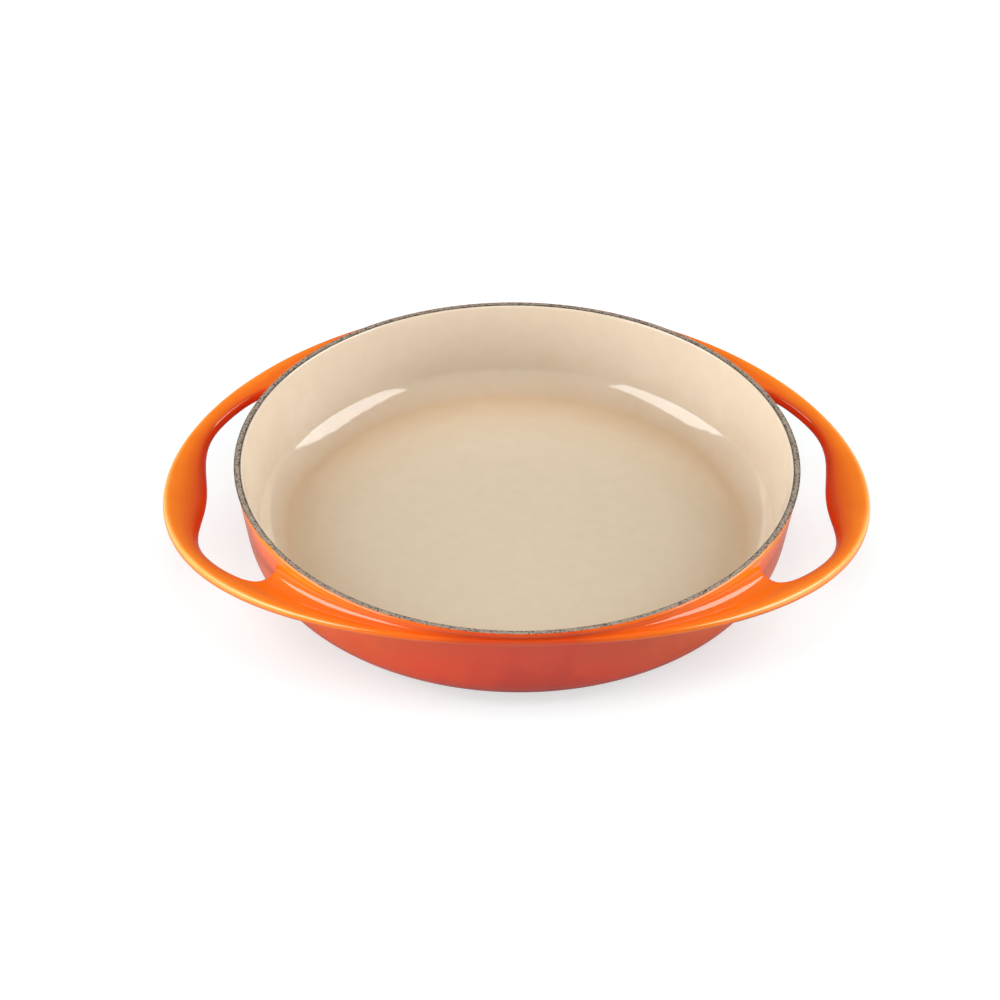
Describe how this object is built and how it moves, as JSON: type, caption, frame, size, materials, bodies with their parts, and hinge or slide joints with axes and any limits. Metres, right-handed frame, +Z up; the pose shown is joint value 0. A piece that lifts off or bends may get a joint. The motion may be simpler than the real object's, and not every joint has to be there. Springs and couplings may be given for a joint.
{
  "type": "tarte tatin dish",
  "caption": "Round enamelled cast-iron baking dish with a flared wall and flat floor; its brim runs round as a drooping ellipse that opens into loop handles at the sides.",
  "frame": {"origin": "centre of the foot ring's lower face, on the table", "axes": "+Z up, X through both handles, Y from the front of the dish to its back"},
  "size_m": [0.3222, 0.2588, 0.0475],
  "materials": {
    "cast_iron": "as cast, fully covered by the coats",
    "ground_coat": "satin, speckled grey-brown ground coat",
    "sand_enamel": "smooth glossy sand-coloured vitreous enamel",
    "orange_enamel": "glossy vitreous enamel shaded from deep red to orange"
  },
  "bodies": {
    "root": {"iron_casting": "cast_iron", "rim_ground_coat": "ground_coat", "interior_enamel": "sand_enamel", "exterior_enamel": "orange_enamel", "underside_enamel": "orange_enamel"}
  },
  "joints": []
}
